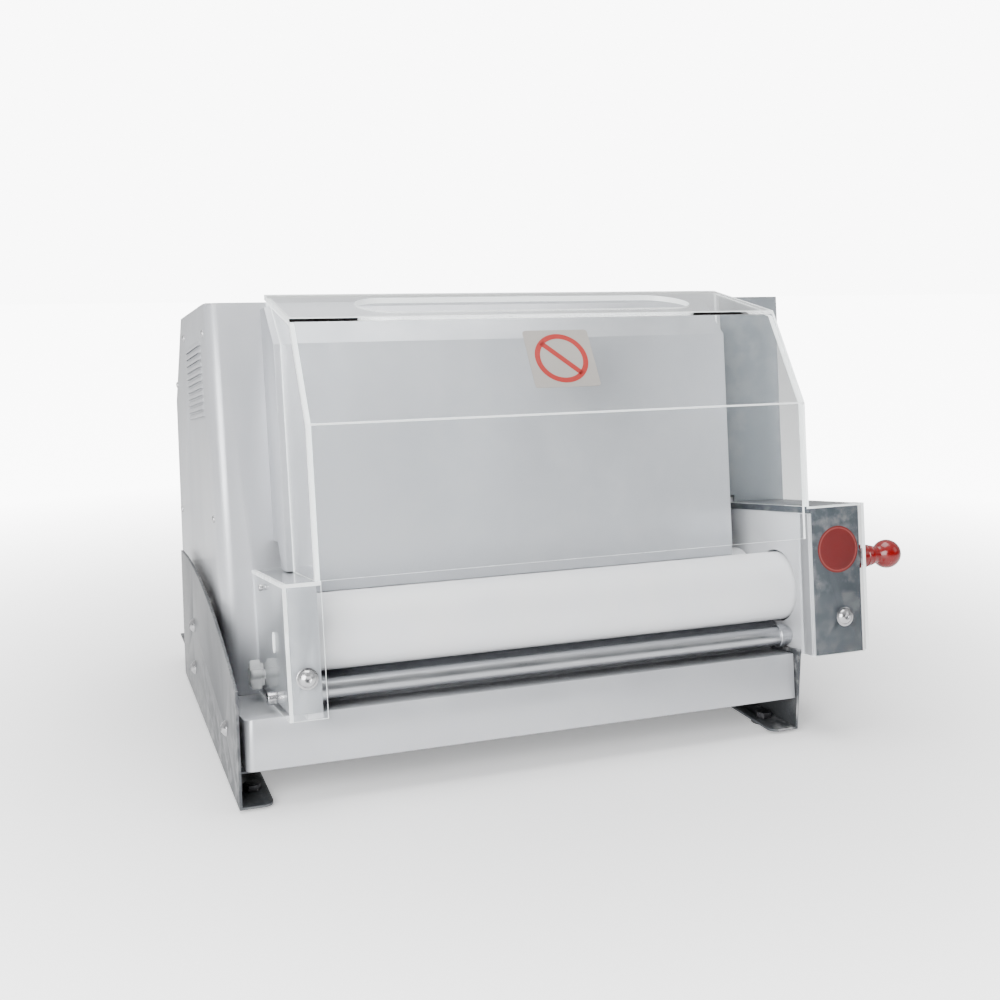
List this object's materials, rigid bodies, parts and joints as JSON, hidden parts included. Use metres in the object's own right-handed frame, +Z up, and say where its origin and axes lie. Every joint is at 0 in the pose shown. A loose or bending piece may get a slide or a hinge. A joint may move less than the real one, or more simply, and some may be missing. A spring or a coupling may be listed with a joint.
{
  "type": "dough sheeter",
  "caption": "Bench-top dough sheeter with a pair of long white rollers under a clear hood, a grey metal casing, clear side guards and a red pull knob on the thickness lever.",
  "frame": {"origin": "bottom centre of the machine's bounding box, on the bench under the foot pads", "axes": "+X along the rollers towards the thickness lever, +Y towards the back, +Z up"},
  "size_m": [0.7063, 0.5128, 0.4444],
  "materials": {
    "leg_plate_metal": "satin powder coat",
    "body_paint": "light grey gloss paint",
    "rear_paint": "light grey satin paint",
    "column_paint": "mid grey satin paint",
    "acrylic": "clear polished acrylic",
    "box_metal": "brushed",
    "satin_steel": "satin",
    "bolt_chrome": "polished",
    "dark_steel": "blackened",
    "roller_white": "smooth food-grade plastic",
    "bronze": "machined bronze",
    "red_gloss": "gloss",
    "green_plastic": "gloss",
    "clear_plastic": "moulded",
    "black_rubber": "matte",
    "motor_paint": "enamel"
  },
  "bodies": {
    "base": {"adjuster_housing": "box_metal", "adjuster_lid": "box_metal", "bearing_flange": "satin_steel", "chassis_pan": "leg_plate_metal", "control_plate": "satin_steel", "cross_bar": "box_metal", "drive_belt": "black_rubber", "drive_cover": "column_paint", "exit_slide": "body_paint", "foot_bolts": "dark_steel", "foot_pads": "black_rubber", "front_apron": "body_paint", "front_bushes": "bronze", "front_scraper": "satin_steel", "guard_bar": "satin_steel", "guard_bolts": "bolt_chrome", "hood": "acrylic", "hood_left_side": "acrylic", "hood_right_side": "acrylic", "index_plate": "satin_steel", "infeed_chute": "body_paint", "left_box_cover": "box_metal", "left_frame_plate": "box_metal", "left_guard": "acrylic", "left_leg": "leg_plate_metal", "leg_bolts": "bolt_chrome", "main_casing": "body_paint", "motor": "motor_paint", "motor_bracket": "dark_steel", "motor_shelf": "dark_steel", "power_inlet": "black_rubber", "rear_cover": "rear_paint", "red_disc": "red_gloss", "right_frame_plate": "box_metal", "right_guard": "acrylic", "right_leg": "leg_plate_metal", "terminal_box": "motor_paint", "warning_plate": "satin_steel"},
    "front_roller": {"front_roller": "roller_white", "front_shaft": "satin_steel", "front_gear": "dark_steel", "driven_pulley": "dark_steel"},
    "carriage": {"carriage_blocks": "satin_steel", "rear_bushes": "bronze", "carriage_tie": "satin_steel", "rear_scraper": "satin_steel"},
    "rear_roller": {"rear_roller": "roller_white", "rear_shaft": "satin_steel", "rear_gear": "dark_steel"},
    "lever": {"lever_shaft": "satin_steel", "eccentric_cam": "satin_steel", "lever_arm": "satin_steel"},
    "pull_knob": {"lever_knob": "red_gloss", "plunger_pin": "satin_steel"},
    "clamp": {"clamp_knob": "clear_plastic", "clamp_stud": "satin_steel"},
    "motor_rotor": {"motor_shaft": "satin_steel", "motor_pulley": "dark_steel"},
    "start": {"start_button": "green_plastic"},
    "stop": {"stop_button": "red_gloss"}
  },
  "joints": [
    {"name": "front_roller_spin", "type": "hinge", "parent": "base", "child": "front_roller", "pos_m": [-0.04884, -0.17602, 0.14296], "axis": [1, 0, 0], "continuous": true},
    {"name": "carriage_slide", "type": "slide", "parent": "base", "child": "carriage", "axis": [0, 0.989, -0.1478], "range_m": [0, 0.0045]},
    {"name": "rear_roller_spin", "type": "hinge", "parent": "carriage", "child": "rear_roller", "pos_m": [-0.04884, -0.1048, 0.13232], "axis": [1, 0, 0], "continuous": true},
    {"name": "lever_turn", "type": "hinge", "parent": "base", "child": "lever", "pos_m": [0.28116, -0.11284, 0.09207], "axis": [1, 0, 0], "range_deg": [-30, 0]},
    {"name": "knob_pull", "type": "slide", "parent": "lever", "child": "pull_knob", "axis": [1, 0, 0], "range_m": [0, 0.006], "stiffness_N_per_m": 1200},
    {"name": "clamp_turn", "type": "hinge", "parent": "base", "child": "clamp", "pos_m": [-0.30784, -0.12896, 0.09245], "axis": [1, 0, 0], "continuous": true},
    {"name": "motor_spin", "type": "hinge", "parent": "base", "child": "motor_rotor", "pos_m": [0.24116, 0.07301, 0.20584], "axis": [1, 0, 0], "continuous": true},
    {"name": "start_press", "type": "slide", "parent": "base", "child": "start", "axis": [-1, 0, 0], "range_m": [0, 0.003], "stiffness_N_per_m": 1000},
    {"name": "stop_press", "type": "slide", "parent": "base", "child": "stop", "axis": [-1, 0, 0], "range_m": [0, 0.003], "stiffness_N_per_m": 1000}
  ],
  "couplings": [
    {"joint": "rear_roller_spin", "follows": "front_roller_spin", "ratio": -1},
    {"joint": "motor_spin", "follows": "front_roller_spin", "ratio": 2},
    {"joint": "carriage_slide", "follows": "lever_turn", "m_per_rad": -0.0085944}
  ]
}
